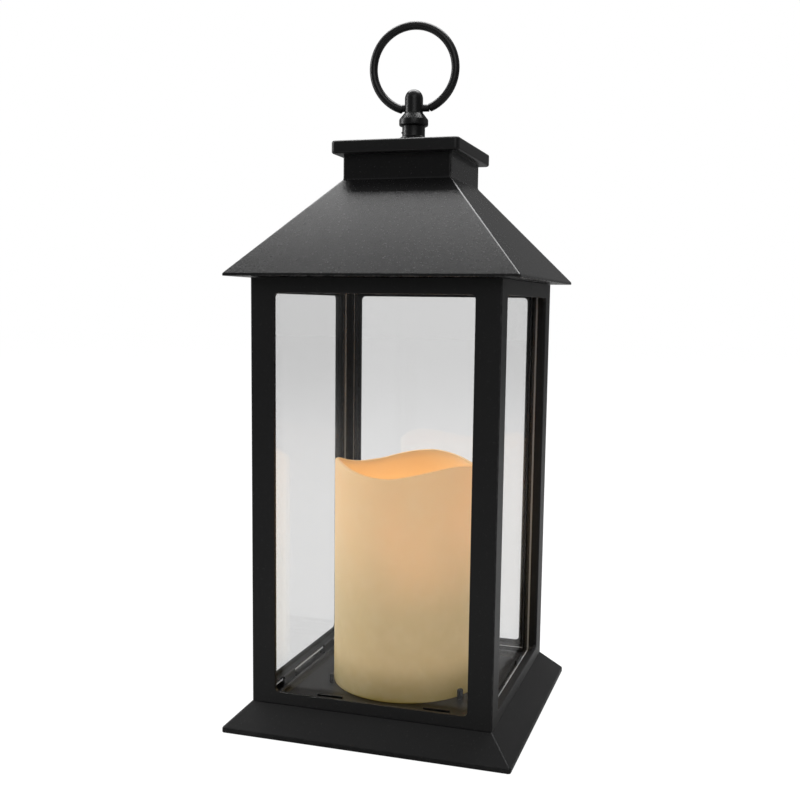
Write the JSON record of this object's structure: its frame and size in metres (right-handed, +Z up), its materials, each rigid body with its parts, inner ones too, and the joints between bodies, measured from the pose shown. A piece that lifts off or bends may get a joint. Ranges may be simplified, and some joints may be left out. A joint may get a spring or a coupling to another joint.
{
  "type": "candle lantern",
  "caption": "Square black lantern with a hipped roof, clear panels, swinging carry ring and a wavy-topped battery candle on the base.",
  "frame": {"origin": "middle of the base's underside, where the lantern stands", "axes": "+Z up through the finial, -Y towards the front window, +X to the right"},
  "size_m": [0.1424, 0.1424, 0.3444],
  "materials": {
    "black_plastic": "fine moulded grain, satin",
    "floor_plastic": "fine moulded grain",
    "clear_panel": "clear moulded plastic sheet",
    "ivory_wax": "waxy, satin, translucent look",
    "warm_diffuser": "translucent, lit from inside",
    "lamp_clear": "clear epoxy, lit",
    "white_plastic": "moulded",
    "nylon": "natural",
    "screw_steel": "zinc plated",
    "contact_metal": "nickel plated",
    "board_green": "solder mask",
    "cell_wrap": "printed sleeve, no text",
    "lead_wire": "tinned"
  },
  "bodies": {
    "base": {"base_skirt": "black_plastic", "floor_tray": "floor_plastic", "tray_screws": "screw_steel"},
    "housing": {"front_frame": "black_plastic", "rear_frame": "black_plastic", "window_front": "clear_panel", "window_right": "clear_panel", "window_rear": "clear_panel", "window_left": "clear_panel", "roof_shell": "black_plastic", "roof_cap": "black_plastic", "cap_screws": "screw_steel", "swivel_washer": "nylon"},
    "finial": {"finial_knob": "black_plastic", "finial_washer": "screw_steel", "finial_screw": "screw_steel"},
    "ring": {"carry_ring": "black_plastic"},
    "candle": {"candle_shell": "ivory_wax", "candle_well": "ivory_wax", "flame_tip": "warm_diffuser", "led_lamp": "lamp_clear", "led_stalk": "white_plastic", "led_leads": "lead_wire", "circuit_board": "board_green", "candle_foot": "white_plastic", "foot_screws": "screw_steel", "battery_box": "white_plastic", "battery_front": "cell_wrap", "battery_middle": "cell_wrap", "battery_rear": "cell_wrap", "contact_springs": "contact_metal", "contact_plates": "contact_metal", "switch_case": "white_plastic"},
    "switch": {"switch_slider": "floor_plastic"},
    "door": {"battery_door": "white_plastic"}
  },
  "joints": [
    {"name": "housing_lift", "type": "slide", "parent": "base", "child": "housing", "axis": [0, 0, 1], "range_m": [0, 0.135]},
    {"name": "finial_swivel", "type": "hinge", "parent": "housing", "child": "finial", "pos_m": [0, 0, 0.2849], "axis": [0, 0, 1], "continuous": true},
    {"name": "ring_swing", "type": "hinge", "parent": "finial", "child": "ring", "pos_m": [0, 0, 0.30307], "axis": [0.9919, 0.1271, 0], "range_deg": [-105, 105]},
    {"name": "candle_lift", "type": "slide", "parent": "base", "child": "candle", "axis": [0, 0, 1], "range_m": [0, 0.085]},
    {"name": "switch_slide", "type": "slide", "parent": "candle", "child": "switch", "axis": [-1, 0, 0], "range_m": [0, 0.006]},
    {"name": "door_hinge", "type": "hinge", "parent": "candle", "child": "door", "pos_m": [-0.0236, 0, 0.0135], "axis": [0, 1, 0], "range_deg": [0, 95]}
  ]
}
